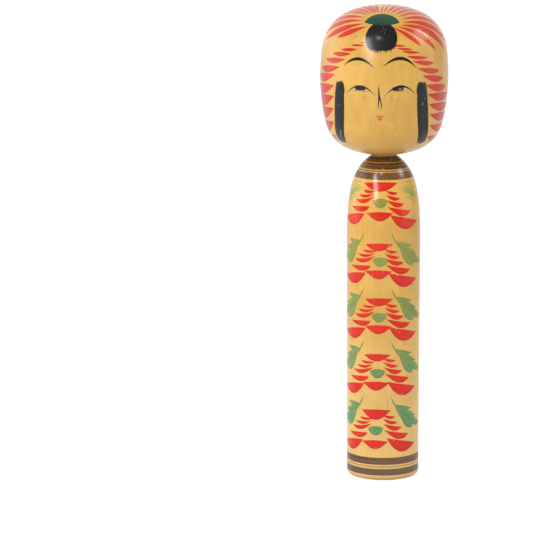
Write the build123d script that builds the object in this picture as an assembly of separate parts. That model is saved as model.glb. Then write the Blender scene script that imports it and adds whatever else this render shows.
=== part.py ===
"""A turned wooden kokeshi doll: a body, and a head that plugs into the top of it.

Both pieces are lathe work, so each is a profile turned about the vertical axis. The head
ends below in a short collar and a round tenon. The tenon stands in a socket bored down the
body, the collar sits on the body's neck, and the head can be twisted round by hand.

Millimetres, +Z up, origin at the centre of the base, the doll facing -Y.
"""
import os
from math import cos, radians, sin

from build123d import *

# Body: a nearly straight trunk that closes over into sloping shoulders
BODY_HEIGHT = 207.0  # base to the flat on top of the neck
BASE_DIAMETER = 46.2
CHEST_DIAMETER = 46.9  # where the shoulders begin
CHEST_HEIGHT = 150.0
NECK_DIAMETER = 17.2
NECK_SLOPE = 34.3  # degrees below level at which the shoulder leaves the neck
SHOULDER_PULL = 17.3  # how far the curve holds the neck's slope
CHEST_PULL = 27.0  # how far the curve holds the trunk's line
BASE_EDGE_RADIUS = 3.1

# Head: a rounded barrel, the overlap of three large arcs with its two corners rounded
HEAD_HEIGHT = 95.2  # chin to crown
HEAD_DIAMETER = 81.2
CHEEK_HEIGHT = 51.0  # chin to the widest place
CROWN_RADIUS = 60.8
CHEEK_RADIUS = 131.0
CHIN_RADIUS = 70.4
TEMPLE_RADIUS = 28.2  # corner between crown and cheek
JAW_RADIUS = 24.6  # corner between cheek and chin

# Neck joint: collar on the neck's flat, tenon in the socket
COLLAR_HEIGHT = 0.8  # from the neck's flat to the lowest point of the chin
COLLAR_INSET = 0.5  # the collar is this much slimmer than the neck, all round
TENON_DIAMETER = 12.0
TENON_LENGTH = 20.0
TENON_CHAMFER = 1.0
SOCKET_CLEARANCE = 0.05  # all round the tenon
SOCKET_SPARE_DEPTH = 2.5  # air left below the tenon
SOCKET_MOUTH_CHAMFER = 0.6
SOCKET_TIP_ANGLE = 118.0  # degrees, the cone that the drill leaves

# Marks of the lathe's drive claws, left in the underside
CLAW_COUNT = 4
CLAW_CIRCLE_DIAMETER = 19.0
CLAW_LENGTH = 5.0  # along the radius
CLAW_WIDTH = 1.1
CLAW_DEPTH = 1.2

HEAD_BASE = BODY_HEIGHT + COLLAR_HEIGHT  # height of the chin's lowest point
SOCKET_DEPTH = TENON_LENGTH + SOCKET_SPARE_DEPTH
SOCKET_DIAMETER = TENON_DIAMETER + 2 * SOCKET_CLEARANCE


def turn(section):
    """Turns a section drawn with x as the radius and y as the height."""
    return revolve(Plane.XZ * section, Axis.Z)


def body_blank():
    """The body's outline turned solid, with its shoulder as one curve from trunk to neck."""
    base_edge = (BASE_DIAMETER / 2, 0)
    chest = (CHEST_DIAMETER / 2, CHEST_HEIGHT)
    neck = (NECK_DIAMETER / 2, BODY_HEIGHT)
    above_chest = (chest[0], chest[1] + CHEST_PULL)
    slope = radians(NECK_SLOPE)
    below_neck = (neck[0] + SHOULDER_PULL * cos(slope), neck[1] - SHOULDER_PULL * sin(slope))
    trunk = Polyline((0, BODY_HEIGHT), (0, 0), base_edge, chest)
    shoulder = Bezier(chest, above_chest, below_neck, neck)
    neck_flat = Line(neck, (0, BODY_HEIGHT))
    blank = turn(make_face(trunk + shoulder + neck_flat))
    base_rim = blank.edges().group_by(Axis.Z)[0]
    return fillet(base_rim, BASE_EDGE_RADIUS)


def socket():
    """The bore for the tenon, with an eased mouth and the drill's cone at its end."""
    radius = SOCKET_DIAMETER / 2
    tip_depth = radius / sin(radians(SOCKET_TIP_ANGLE / 2)) * cos(radians(SOCKET_TIP_ANGLE / 2))
    outline = Polyline(
        (0, BODY_HEIGHT),
        (radius + SOCKET_MOUTH_CHAMFER, BODY_HEIGHT),
        (radius, BODY_HEIGHT - SOCKET_MOUTH_CHAMFER),
        (radius, BODY_HEIGHT - SOCKET_DEPTH),
        (0, BODY_HEIGHT - SOCKET_DEPTH - tip_depth),
        close=True,
    )
    return turn(make_face(outline))


def claw_marks():
    """Short radial nicks in a ring under the base."""
    nick = Box(CLAW_LENGTH, CLAW_WIDTH, CLAW_DEPTH, align=(Align.CENTER, Align.CENTER, Align.MIN))
    return [place * nick for place in PolarLocations(CLAW_CIRCLE_DIAMETER / 2, CLAW_COUNT)]


def head_barrel():
    """The head without its neck joint, from the chin's lowest point to the crown."""
    crown = HEAD_BASE + HEAD_HEIGHT
    widest = HEAD_BASE + CHEEK_HEIGHT
    crown_disc = Pos(0, crown - CROWN_RADIUS) * Circle(CROWN_RADIUS)
    cheek_disc = Pos(HEAD_DIAMETER / 2 - CHEEK_RADIUS, widest) * Circle(CHEEK_RADIUS)
    chin_disc = Pos(0, HEAD_BASE + CHIN_RADIUS) * Circle(CHIN_RADIUS)
    outer_side = Pos(0, widest) * Rectangle(
        HEAD_DIAMETER, 2 * HEAD_HEIGHT, align=(Align.MIN, Align.CENTER)
    )
    barrel = turn(crown_disc & cheek_disc & chin_disc & outer_side)
    for height, radius in ((Axis.Z, TEMPLE_RADIUS), (-Axis.Z, JAW_RADIUS)):
        corner = barrel.edges().filter_by(Edge.is_closed).sort_by(height)[-1]
        barrel = fillet(corner, radius)
    return barrel


def neck_joint():
    """The collar under the chin and the tenon below it, as one stepped peg."""
    collar_radius = NECK_DIAMETER / 2 - COLLAR_INSET
    inside_chin = HEAD_BASE + collar_radius**2 / CHIN_RADIUS
    outline = Polyline(
        (0, inside_chin),
        (collar_radius, inside_chin),
        (collar_radius, BODY_HEIGHT),
        (TENON_DIAMETER / 2, BODY_HEIGHT),
        (TENON_DIAMETER / 2, BODY_HEIGHT - TENON_LENGTH + TENON_CHAMFER),
        (TENON_DIAMETER / 2 - TENON_CHAMFER, BODY_HEIGHT - TENON_LENGTH),
        (0, BODY_HEIGHT - TENON_LENGTH),
        close=True,
    )
    return turn(make_face(outline))


body = body_blank() - socket() - claw_marks()
head = head_barrel() + neck_joint()

os.makedirs("parts", exist_ok=True)
for name, piece in {"body": body, "head": head}.items():
    piece.label = name
    export_step(piece, f"parts/{name}.step")
    print(name, "volume", round(piece.volume), "box", piece.bounding_box())
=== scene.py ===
"""Looks of a turned wooden kokeshi doll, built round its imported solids.

The body and the head are lathe work, so one Geometry Nodes tree turns each outline about the
vertical axis. All the paint is laid on that wood by a second tree, from one point per brush
stroke. The scene is in metres, +Z up, with the doll facing -Y. Tables of brush strokes are in
millimetres.
"""
from math import acos, atan2, cos, hypot, pi, radians, sin, sqrt, tan

import bpy
import numpy as np
from bpy.props import FloatProperty, FloatVectorProperty, IntProperty, PointerProperty
from mathutils import Matrix, Vector


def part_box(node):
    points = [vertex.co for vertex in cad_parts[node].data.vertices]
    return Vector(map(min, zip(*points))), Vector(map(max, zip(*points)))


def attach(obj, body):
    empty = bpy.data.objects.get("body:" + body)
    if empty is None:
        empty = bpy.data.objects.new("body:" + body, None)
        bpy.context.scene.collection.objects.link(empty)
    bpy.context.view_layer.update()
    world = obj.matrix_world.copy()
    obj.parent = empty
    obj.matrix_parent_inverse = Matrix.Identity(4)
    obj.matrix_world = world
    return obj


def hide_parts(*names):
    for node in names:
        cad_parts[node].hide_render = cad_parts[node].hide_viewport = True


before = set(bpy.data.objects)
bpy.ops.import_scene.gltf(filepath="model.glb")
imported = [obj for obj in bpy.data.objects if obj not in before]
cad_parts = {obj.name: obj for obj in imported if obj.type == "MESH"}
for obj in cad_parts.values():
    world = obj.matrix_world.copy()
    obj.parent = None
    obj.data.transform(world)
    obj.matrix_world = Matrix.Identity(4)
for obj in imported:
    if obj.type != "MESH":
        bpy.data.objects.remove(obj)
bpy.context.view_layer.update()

bl_info = {
    "name": "Kokeshi Doll",
    "version": (1, 0, 0),
    "blender": (4, 5, 0),
    "location": "3D View > Sidebar > Kokeshi",
    "description": "Turns and paints a wooden kokeshi doll round its packed solids",
    "category": "Object",
}

MM = 0.001
HEAD_NODE = "head"
BODY_NODE = "body"
HEAD_BODY = "turning_head"
TRUNK_BODY = "standing_body"
HEAD_SLOT = "head_wood"
BODY_SLOT = "body_wood"

HEAD_LOW, HEAD_HIGH = (Vector(corner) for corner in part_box(HEAD_NODE))
BODY_LOW, BODY_HIGH = (Vector(corner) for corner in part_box(BODY_NODE))
HEAD_ROUND = (HEAD_HIGH.x - HEAD_LOW.x) / 2
TRUNK_ROUND = (BODY_HIGH.x - BODY_LOW.x) / 2


# ---------------------------------------------------------------- settings


def srgb(red, green, blue):
    """A colour written as 0 to 255 values, made linear."""
    shares = (channel / 255 for channel in (red, green, blue))
    return tuple(s / 12.92 if s <= 0.04045 else ((s + 0.055) / 1.055) ** 2.4 for s in shares)


def setting(kind, description, default, **more):
    """A property, named by the words before the first comma of its description."""
    return kind(name=description.split(",")[0], description=description, default=default, **more)


def length(description, default):
    """A size in metres, from millimetres."""
    return setting(
        FloatProperty, description, default * MM, precision=5, subtype="DISTANCE", unit="LENGTH"
    )


def angle(description, default):
    """An angle, from degrees."""
    return setting(FloatProperty, description, radians(default), subtype="ANGLE", unit="ROTATION")


def amount(description, default, unit="NONE"):
    """A number from zero up."""
    return setting(FloatProperty, description, default, unit=unit, min=0.0)


def colour(description, *channels):
    """A colour, from 0 to 255 values."""
    return setting(
        FloatVectorProperty, description, srgb(*channels), subtype="COLOR", size=3, min=0, max=1
    )


class KokeshiHeadForm(bpy.types.PropertyGroup):
    """Sizes of the head's turned outline."""

    cheek_height: length("Cheek height, from the chin to the widest place", 51.0)
    crown_radius: length("Crown radius", 60.8)
    cheek_radius: length("Cheek radius", 131.0)
    chin_radius: length("Chin radius", 70.4)
    temple_radius: length("Temple radius, the corner between crown and cheek", 28.2)
    jaw_radius: length("Jaw radius, the corner between cheek and chin", 24.6)
    collar_height: length("Collar height, from the neck's flat to the chin", 0.8)
    collar_inset: length("Collar inset, how much slimmer than the neck", 0.5)
    tenon_diameter: length("Tenon diameter", 12.0)
    tenon_chamfer: length("Tenon chamfer", 1.0)


class KokeshiBodyForm(bpy.types.PropertyGroup):
    """Sizes of the body's turned outline."""

    base_diameter: length("Base diameter", 46.2)
    base_edge_radius: length("Base edge radius", 3.1)
    chest_height: length("Chest height, where the shoulders begin", 150.0)
    neck_diameter: length("Neck diameter", 17.2)
    neck_slope: angle("Neck slope, below level where the shoulder leaves the neck", 34.3)
    shoulder_pull: length("Shoulder pull, how far the curve holds the neck's slope", 17.3)
    chest_pull: length("Chest pull, how far the curve holds the trunk's line", 27.0)
    socket_diameter: length("Socket diameter", 12.1)
    socket_depth: length("Socket depth", 22.5)
    socket_mouth_chamfer: length("Socket mouth chamfer", 0.6)
    socket_tip_angle: angle("Socket tip angle, the drill's cone", 118.0)
    claw_count: setting(IntProperty, "Claw marks, nicks under the base", 4)
    claw_circle_diameter: length("Claw circle diameter", 19.0)
    claw_length: length("Claw mark length, along the radius", 5.0)
    claw_width: length("Claw mark width", 1.1)
    claw_depth: length("Claw mark depth", 1.2)


class KokeshiPaints(bpy.types.PropertyGroup):
    """Colours of wood and paint, and the thickness of the paint."""

    wood_light: colour("Light wood", 230, 181, 92)
    # paler toward the foot: partly paler wood, partly painted light bounced up from the floor
    wood_pale: colour("Pale wood, toward the foot", 247, 213, 142)
    wood_dark: colour("Dark wood", 205, 154, 66)
    red: colour("Red", 226, 22, 3)
    hair_red: colour("Red of the hair", 212, 27, 17)
    lip: colour("Lip red", 206, 58, 20)
    ink: colour("Ink, for the hair and the face", 9, 8, 6)
    ribbon: colour("Ribbon green", 14, 70, 47)
    leaf_high: colour("Leaf green, upper tiers", 144, 153, 57)
    leaf_pale: colour("Leaf green, top tier", 138, 152, 58)
    leaf_low: colour("Leaf green, lower tiers", 42, 152, 91)
    # the neck band's brown is made darker, as painted shade under the head
    band_high: colour("Band brown, at the neck", 82, 50, 37)
    band_low: colour("Band brown, at the base", 86, 64, 64)
    inset: length("Inset, how far the wood lies inside the turned size", 0.045)
    film: length("Film, the height of the paint above the wood", 0.03)
    sunk: length("Sunk, how deep the film's back lies in the wood", 0.04)


class KokeshiStage(bpy.types.PropertyGroup):
    """Camera, lamps and surroundings."""

    heading: angle("Heading, how far the camera has gone round to the doll's left", 6.0)
    sideways: length("Sideways, the camera's offset to its own left", 72.4)
    distance: length("Distance, from the doll's axis", 1914.9)
    height: length("Height of the camera", 496.1)
    tilt: angle("Tilt below level", 10.73)
    roll: angle("Roll", -0.155)
    focal_length: amount("Focal length", 203.5, "CAMERA")
    key_power: amount("Key power, tall window in front, to the camera's left", 17.8, "POWER")
    fill_power: amount("Fill power, high window to the camera's right", 7.3, "POWER")
    small_power: amount("Small lamp power, lamp high in front", 1.2, "POWER")
    card_power: amount("Card power, white card on either side", 6.2, "POWER")
    light_in_front: amount("Light in front, level of the room that the doll faces", 0.3)
    light_behind: amount("Light behind, level of the white behind the doll", 1.0)


# ---------------------------------------------------------------- node trees


def arithmetic(operation, swapped=False):
    """A method that does one sum with a node."""

    def method(self, other):
        terms = (other, self) if swapped else (self, other)
        return self.wiring.reckon(operation, *terms)

    return method


class Value:
    """What a node gives. Sums with it are written as usual, and each adds a math node."""

    __add__, __radd__ = arithmetic("ADD"), arithmetic("ADD", swapped=True)
    __sub__, __rsub__ = arithmetic("SUBTRACT"), arithmetic("SUBTRACT", swapped=True)
    __mul__, __rmul__ = arithmetic("MULTIPLY"), arithmetic("MULTIPLY", swapped=True)
    __truediv__, __pow__ = arithmetic("DIVIDE"), arithmetic("POWER")

    def __init__(self, wiring, socket):
        self.wiring, self.socket = wiring, socket

    def __neg__(self):
        return self * -1.0


RANGE = ("Value", "From Min", "From Max", "To Min", "To Max")


class Wiring:
    """Adds nodes to a tree and joins them up."""

    def __init__(self, name, kind):
        self.tree = bpy.data.node_groups.new(name, kind) if isinstance(kind, str) else kind
        self.source = None

    def sockets(self, direction, kinds):
        """Adds sockets to the group, each a kind or a kind and a default."""
        for name, kind in kinds.items():
            kind, *default = kind if isinstance(kind, tuple) else (kind,)
            made = self.tree.interface.new_socket(
                name=name.replace("_", " "), in_out=direction, socket_type="NodeSocket" + kind
            )
            if default:
                made.default_value = default[0]

    def takes(self, **kinds):
        """Adds the group's inputs, with spaces in their names for underscores."""
        self.sockets("INPUT", kinds)
        self.source = self.tree.nodes.new("NodeGroupInput")

    def __getitem__(self, name):
        """The group's input of that name."""
        return Value(self, self.source.outputs[name])

    def finish(self, **results):
        """Adds the group's outputs and joins the results to them."""
        kinds = {"RGBA": "Color", "VALUE": "Float", "GEOMETRY": "Geometry"}
        self.sockets("OUTPUT", {name: kinds[made.socket.type] for name, made in results.items()})
        end = self.tree.nodes.new("NodeGroupOutput")
        for name, made in results.items():
            self.join(made, end.inputs[name])
        return self.tree

    def join(self, value, target):
        """Joins a value to a socket, or sets the socket where the value is a plain one."""
        if isinstance(value, Value):
            self.tree.links.new(value.socket, target)
        else:
            target.default_value = value

    def node(self, kind, feeds=(), out=0, **settings):
        """Adds a node, fed by input name or number, and returns one output or a list of them."""
        made = self.tree.nodes.new(kind)
        for name, value in settings.items():
            setattr(made, name, value)
        for key, value in dict(feeds).items():
            if isinstance(key, int):
                target = made.inputs[key]
            else:
                target = next(s for s in made.inputs if s.name == key and s.enabled)
            self.join(value, target)
        if isinstance(out, tuple):
            return [Value(self, made.outputs[key]) for key in out]
        return Value(self, made.outputs[out])

    def number(self, operation, *terms, clamp=False):
        """A math node's result."""
        return self.node("ShaderNodeMath", enumerate(terms), operation=operation, use_clamp=clamp)

    def vector(self, operation, *terms):
        """A vector math node's result."""
        feeds = {0: terms[0], "Scale": terms[1]} if operation == "SCALE" else enumerate(terms)
        out = "Value" if operation == "LENGTH" else "Vector"
        return self.node("ShaderNodeVectorMath", feeds, out, operation=operation)

    def reckon(self, operation, first, second):
        """A sum of two numbers or two vectors, or a vector times a number."""
        wide = [
            isinstance(term, tuple)
            or isinstance(term, Value) and term.socket.type in ("VECTOR", "RGBA")
            for term in (first, second)
        ]
        if not any(wide):
            return self.number(operation, first, second)
        return self.vector(operation if all(wide) else "SCALE", first, second)

    def combine(self, x, y, z=0.0):
        """A vector from three numbers."""
        return self.node("ShaderNodeCombineXYZ", {0: x, 1: y, 2: z})

    def separate(self, vector):
        """A vector's three numbers."""
        return self.node("ShaderNodeSeparateXYZ", {0: vector}, (0, 1, 2))

    def remap(self, value, low, high, to_low=0.0, to_high=1.0, smooth=True):
        """Value taken from one range to another, held at the ends."""
        return self.node(
            "ShaderNodeMapRange",
            dict(zip(RANGE, (value, low, high, to_low, to_high))),
            interpolation_type="SMOOTHSTEP" if smooth else "LINEAR",
        )

    def noise(self, vector, scale, detail=2.0, roughness=0.5, distortion=0.0, out="Fac"):
        """Noise from 0 to 1, mostly near a half."""
        feeds = {
            "Vector": vector, "Scale": scale, "Detail": detail, "Roughness": roughness,
            "Distortion": distortion,
        }
        return self.node("ShaderNodeTexNoise", feeds, out)

    def mix(self, factor, first, second, blend="MIX"):
        """Two colours mixed."""
        feeds = {0: factor, 6: first, 7: second}
        return self.node("ShaderNodeMix", feeds, 2, data_type="RGBA", blend_type=blend)

    def stored(self, name, kind="FLOAT"):
        """What the geometry has stored under that name."""
        return self.node("GeometryNodeInputNamedAttribute", {"Name": name}, data_type=kind)

    def moved(self, geometry, **to):
        """Geometry moved to a position, or by an offset."""
        feeds = {"Geometry": geometry, **{key.title(): value for key, value in to.items()}}
        return self.node("GeometryNodeSetPosition", feeds)

    def welded(self, geometry, distance=2e-6):
        """Geometry with the points joined that lie in the same place."""
        return self.node(
            "GeometryNodeMergeByDistance", {"Geometry": geometry, "Distance": distance}
        )

    def made_real(self, geometry):
        """Instances turned into plain geometry."""
        return self.node("GeometryNodeRealizeInstances", {"Geometry": geometry})

    def shaded(self, geometry):
        """Smooth faces with sharp rims, made real and given the material."""
        rim = self.node("GeometryNodeInputMeshEdgeAngle", out="Unsigned Angle")
        soft = self.number("LESS_THAN", rim, self["Sharp from"])
        for domain, smooth in (("FACE", True), ("EDGE", soft)):
            geometry = self.node(
                "GeometryNodeSetShadeSmooth", {"Geometry": geometry, "Shade Smooth": smooth},
                domain=domain,
            )
        return self.finished(geometry)

    def finished(self, geometry):
        """Geometry made real and given the material."""
        feeds = {"Geometry": self.made_real(geometry), "Material": self["Finish"]}
        return self.node("GeometryNodeSetMaterial", feeds)


def run_tree(piece, tree, **settings):
    """Runs a tree on a piece and keeps the result as its plain mesh."""
    modifier = piece.modifiers.new(tree.name, "NODES")
    modifier.node_group = tree
    for item in tree.interface.items_tree:
        key = item.name.replace(" ", "_").lower()
        if item.in_out == "INPUT" and key in settings:
            modifier[item.identifier] = settings[key]
    depsgraph = bpy.context.evaluated_depsgraph_get()
    mesh = bpy.data.meshes.new_from_object(
        piece.evaluated_get(depsgraph), preserve_all_data_layers=True, depsgraph=depsgraph
    )
    piece.modifiers.clear()
    mesh.name = piece.name
    piece.data = mesh


def turning_tree():
    """Turns an outline, drawn from foot to top with x as the radius, about the vertical axis."""
    w = Wiring("Turned on the lathe", "GeometryNodeTree")
    w.takes(
        Geometry="Geometry", Sides=("Int", 160), Inset=("Float", 0.04 * MM),
        Sharp_from=("Float", radians(25)), Finish="Material",
    )
    outline, sides = w["Geometry"], w["Sides"]
    count = w.node("GeometryNodeAttributeDomainSize", {"Geometry": outline}, "Point Count")
    grid = w.node(
        "GeometryNodeMeshGrid",
        {"Size X": 1.0, "Size Y": 1.0, "Vertices X": sides + 1, "Vertices Y": count},
    )
    index = w.node("GeometryNodeInputIndex")
    row = w.number("MODULO", index, count)
    share = w.number("FLOOR", (index + 0.5) / count) / sides
    point = w.node(
        "GeometryNodeSampleIndex",
        {"Geometry": outline, "Value": w.node("GeometryNodeInputPosition"), "Index": row},
        data_type="FLOAT_VECTOR", domain="POINT",
    )
    radius, _, height = w.separate(point)
    turn = share * (2 * pi)
    across, forward = radius * w.number("SINE", turn), radius * -w.number("COSINE", turn)
    mapped = w.node(
        "GeometryNodeStoreNamedAttribute",
        {"Geometry": grid, "Name": "OFBake", "Value": w.combine(share, row / (count - 1))},
        data_type="FLOAT2", domain="CORNER",
    )
    closed = w.welded(w.moved(mapped, position=w.combine(across, forward, height)), 1e-6)
    inward = w.node("GeometryNodeInputNormal") * -w["Inset"]
    return w.finish(Geometry=w.shaded(w.moved(closed, offset=inward)))


def claw_tree():
    """Cuts a ring of short radial nicks into the underside."""
    w = Wiring("Claw marks", "GeometryNodeTree")
    w.takes(Geometry="Geometry", Count="Int", Circle="Float", Nick="Vector", Finish="Material")
    ring = w.node("GeometryNodeMeshCircle", {"Vertices": w["Count"], "Radius": w["Circle"]})
    nick = w.node("GeometryNodeMeshCube", {"Size": w["Nick"]})
    east, north, _ = w.separate(w.node("GeometryNodeInputPosition"))
    facing = w.combine(0.0, 0.0, w.number("ARCTAN2", north, east))
    turned = w.node("FunctionNodeEulerToRotation", {0: facing})
    nicks = w.node(
        "GeometryNodeInstanceOnPoints", {"Points": ring, "Instance": nick, "Rotation": turned}
    )
    cut = w.node(
        "GeometryNodeMeshBoolean", {"Mesh 1": w["Geometry"], "Mesh 2": w.made_real(nicks)},
        operation="DIFFERENCE", solver="EXACT",
    )
    return w.finish(Geometry=w.finished(cut))


RAY_REACH = 0.2
HAIRS_IN_BRUSH = 40.0


def brush_tree():
    """Lays brush strokes on a turned form, one for each point.

    A point is where the brush is put down, and carries the way to where it is lifted, the bow
    of that way, the widths to its left and right, how they taper and how the hairs part.
    Flat strokes are x round the form and y up it, or, from above, x and y about its top.
    """
    w = Wiring("Brush strokes on a turned form", "GeometryNodeTree")
    w.takes(
        Geometry="Geometry", Wood="Object", From_above="Bool", Centre_height="Float",
        Round=("Float", 0.04), Steps_along=("Int", 20), Steps_across=("Int", 6), Film="Float",
        Sunk="Float", Tremble=("Float", 0.1 * MM), Seed=("Int", 1),
        Sharp_from=("Float", radians(35)), Finish="Material",
    )
    size = {"Size X": 1.0, "Size Y": 1.0}
    steps = {"Vertices X": w["Steps along"] + 1, "Vertices Y": w["Steps across"] + 1}
    grid = w.node("GeometryNodeMeshGrid", {**size, **steps})
    grid_x, grid_y, _ = w.separate(w.node("GeometryNodeInputPosition"))
    run = (1.0 - w.number("COSINE", (grid_x + 0.5) * pi)) * 0.5
    for name, value in (("along", run), ("across", grid_y * 2.0)):
        feeds = {"Geometry": grid, "Name": name, "Value": value}
        grid = w.node(
            "GeometryNodeStoreNamedAttribute", feeds, data_type="FLOAT", domain="POINT"
        )
    sheet = w.made_real(
        w.node("GeometryNodeInstanceOnPoints", {"Points": w["Geometry"], "Instance": grid})
    )

    along, across, tint = (w.stored(name) for name in ("along", "across", "tint"))
    start, reach = (w.stored(name, "FLOAT_VECTOR") for name in ("start", "reach"))
    ahead = w.vector("NORMALIZE", reach)
    east, north, _ = w.separate(ahead)
    aside = w.combine(-north, east)
    swell = along ** w.stored("start_taper") * (1.0 - along) ** w.stored("end_taper")
    leftward = w.number("GREATER_THAN", across, 0.0)
    widths = {0: leftward, 2: w.stored("right"), 3: w.stored("left")}
    width = w.node("ShaderNodeMix", widths, data_type="FLOAT")
    off = across * width * swell + w.stored("bow") * (along * (1.0 - along) * 4.0)
    hair = w.node(
        "ShaderNodeTexWhiteNoise",
        {"Vector": w.combine(w.number("ROUND", across * HAIRS_IN_BRUSH), tint, w["Seed"])},
        "Value", noise_dimensions="3D",
    )
    late, early = w.remap(along, 0.55, 1.0), w.remap(along, 0.45, 0.0)
    parting = w.stored("end_fray") * late - w.stored("start_fray") * early
    flat = start + reach * along + aside * off + ahead * ((hair - 0.5) * parting)
    shake = w.noise(flat + w.combine(tint, w["Seed"], 0.0), 260.0, out="Color")
    flat_x, flat_y, _ = w.separate(flat + (shake - (0.5, 0.5, 0.5)) * w["Tremble"])

    from_top = w.vector("LENGTH", w.combine(flat_x, flat_y)) / w["Round"]
    compass = w.number("ARCTAN2", flat_x, -flat_y)

    def heading(turning, spread, rise):
        east, south = w.number("SINE", turning), w.number("COSINE", turning)
        return w.combine(east * spread, south * -spread, rise)

    def either(kind, beside, above):
        feeds = {"Switch": w["From above"], "False": beside, "True": above}
        return w.node("GeometryNodeSwitch", feeds, input_type=kind)

    outward = either(
        "VECTOR", heading(flat_x / w["Round"], 1.0, 0.0),
        heading(compass, w.number("SINE", from_top), w.number("COSINE", from_top)),
    )
    middle = w.combine(0.0, 0.0, either("FLOAT", flat_y, w["Centre height"]))
    wood = w.node(
        "GeometryNodeObjectInfo", {"Object": w["Wood"]}, "Geometry", transform_space="RELATIVE"
    )
    hit, normal = w.node(
        "GeometryNodeRaycast",
        {
            "Target Geometry": wood, "Source Position": middle + outward * RAY_REACH,
            "Ray Direction": -outward, "Ray Length": RAY_REACH,
        },
        ("Hit Position", "Hit Normal"),
    )
    laid = w.welded(w.moved(sheet, position=hit + normal * -w["Sunk"]))
    raised = w.node(
        "GeometryNodeExtrudeMesh",
        {
            "Mesh": laid, "Offset": w.node("GeometryNodeInputNormal"),
            "Offset Scale": w["Film"] + w["Sunk"] + w.stored("layer"), "Individual": False,
        },
        mode="FACES",
    )
    both = w.node("GeometryNodeJoinGeometry", {0: raised})
    back = w.node("GeometryNodeFlipFaces", {"Mesh": laid})
    w.join(back, both.socket.node.inputs[0])
    return w.finish(Geometry=w.shaded(w.welded(both)))


# ---------------------------------------------------------------- shader groups


def grain_group():
    """Pale turned wood: upright fibres, cloudy tone, flecks and the lathe's fine lines."""
    w = Wiring("Turned wood", "ShaderNodeTree")
    w.takes(Vector="Vector", Light="Color", Dark="Color")
    spot = w["Vector"]
    fibre = w.noise(spot * (1.0, 1.0, 0.03), 1300.0, 3.0, 0.6)
    figure = w.noise(spot * (1.0, 1.0, 0.14), 210.0, 3.0, 0.55, 0.6)
    turning = w.noise(spot * (0.06, 0.06, 1.0), 1100.0, 2.0, 0.6)
    cloud = w.noise(spot, 26.0, 3.0, 0.55)
    tone = cloud * 0.56 + figure * 0.22 + fibre * 0.16 + turning * 0.06
    colour = w.mix(w.remap(tone, 0.38, 0.62, smooth=False), w["Dark"], w["Light"])
    speck = w.remap(w.noise(spot * (1.0, 1.0, 0.5), 520.0, 1.0), 0.72, 0.8)
    patch = w.remap(w.noise(spot, 40.0, 1.0), 0.5, 0.62)
    colour = w.mix(speck * patch * 0.35, colour, (*srgb(120, 84, 44), 1))
    rough = w.remap(w.noise(spot, 60.0, 3.0, 0.6), 0.3, 0.7, 0.3, 0.42)
    return w.finish(Colour=colour, Roughness=rough, Height=fibre * 0.7 + turning * 0.4)


def marks_group():
    """Marks of handling: a pale scratch or nick here and there."""
    w = Wiring("Handling marks", "ShaderNodeTree")
    w.takes(Vector="Vector", Amount="Float")
    spot = w["Vector"]
    scratch = w.remap(w.noise(spot * (1.0, 1.0, 0.12), 620.0, 1.0, 0.4, 0.4), 0.7, 0.76)
    nick = w.remap(w.noise(spot, 420.0, 1.0, 0.4), 0.735, 0.77)
    where = w.remap(w.noise(spot + (0.3, 0.1, 0.7), 45.0, 1.0), 0.5, 0.62)
    both = w.number("MAXIMUM", scratch, nick) * where
    return w.finish(Mask=w.number("MULTIPLY", both, w["Amount"], clamp=True))


def brush_group():
    """Paint as the brush left it: hair streaks, pooled edges, soft rims and worn places."""
    w = Wiring("Brushed paint", "ShaderNodeTree")
    w.takes(
        Vector="Vector", Along="Float", Across="Float", Tint="Float", Wood="Color",
        Pigment="Color", Cover=("Float", 0.95), Streaks=("Float", 0.3), Pooling=("Float", 0.3),
        Dry_end=("Float", 0.0), Wear=("Float", 0.5), Soft_edge=("Float", 0.0),
        Load=("Float", 0.16),
    )
    spot, along, across, tint = w["Vector"], w["Along"], w["Across"], w["Tint"]
    pigment = w["Pigment"]
    hairs = w.noise(w.combine(across * 7.0, along * 1.3, tint * 37.0), 1.6, 4.0, 0.65)
    edge = w.number("ABSOLUTE", across)
    thin = w.remap(hairs, 0.62, 0.36) * w["Streaks"]
    dry = w.remap(along + hairs * 0.5, 1.02, 1.3) * w["Dry end"]
    blot = w.noise(spot, 170.0, 3.0, 0.6)
    worn = w.remap(blot, 0.64, 0.74) * w["Wear"]
    ends = w.number("ABSOLUTE", w.remap(along, 0, 1, -1, 1, smooth=False))
    soft = w.remap(w.number("MAXIMUM", edge, ends), 0.25, 1.0) * w["Soft edge"]
    lost = thin + dry + (worn + soft)
    cover = w.number("SUBTRACT", w["Cover"], lost, clamp=True)
    deep = w.mix(1.0, pigment, (0.7, 0.5, 0.5, 1), "MULTIPLY")
    pigment = w.mix(w.remap(edge, 0.55, 0.92) * w["Pooling"], pigment, deep)
    pigment = w.mix(tint * w["Load"], pigment, deep)
    return w.finish(
        Colour=w.mix(cover, w["Wood"], pigment), Roughness=w.remap(blot, 0.3, 0.7, 0.34, 0.5),
        Height=cover * 0.5 + hairs * 0.25,
    )


TREES = {}


def tree_once(maker):
    """A node tree, built the first time it is asked for."""
    if maker not in TREES:
        TREES[maker] = maker()
    return TREES[maker]


# how rough the wax is, how strongly it mirrors and how much the ground under it still shines
BODY_POLISH = (0.18, 1.43, 0.0)
HEAD_POLISH = (0.19, 1.33, 0.15)

# heights between which the trunk grows paler, partly paler wood and partly painted light bounced
# from the floor, the base darkens as painted shade on its rounded foot and one paint takes over
# from another, the height at which the head begins, and how deep the top of the neck is painted,
# as shade under the head
PALE_FROM, PALE_TO = 0.14, 0.02
FOOT_SHADE_FROM, FOOT_SHADE_TO = 0.0042, 0.0012
SECOND_PAINT_BELOW, FIRST_PAINT_ABOVE = 0.03, 0.19
HEAD_FOOT = 0.2075
NECK_SHADE_RIM_DEPTH = 0.25 * MM

# colour of a mark in wood and in paint, how strongly each shows its relief, and its depth
WOOD_MARK, PAINT_MARK = srgb(246, 222, 170), srgb(236, 196, 150)
WOOD_BUMP, PAINT_BUMP = 0.12, 0.15
BUMP_DEPTH = 0.1 * MM


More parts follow.
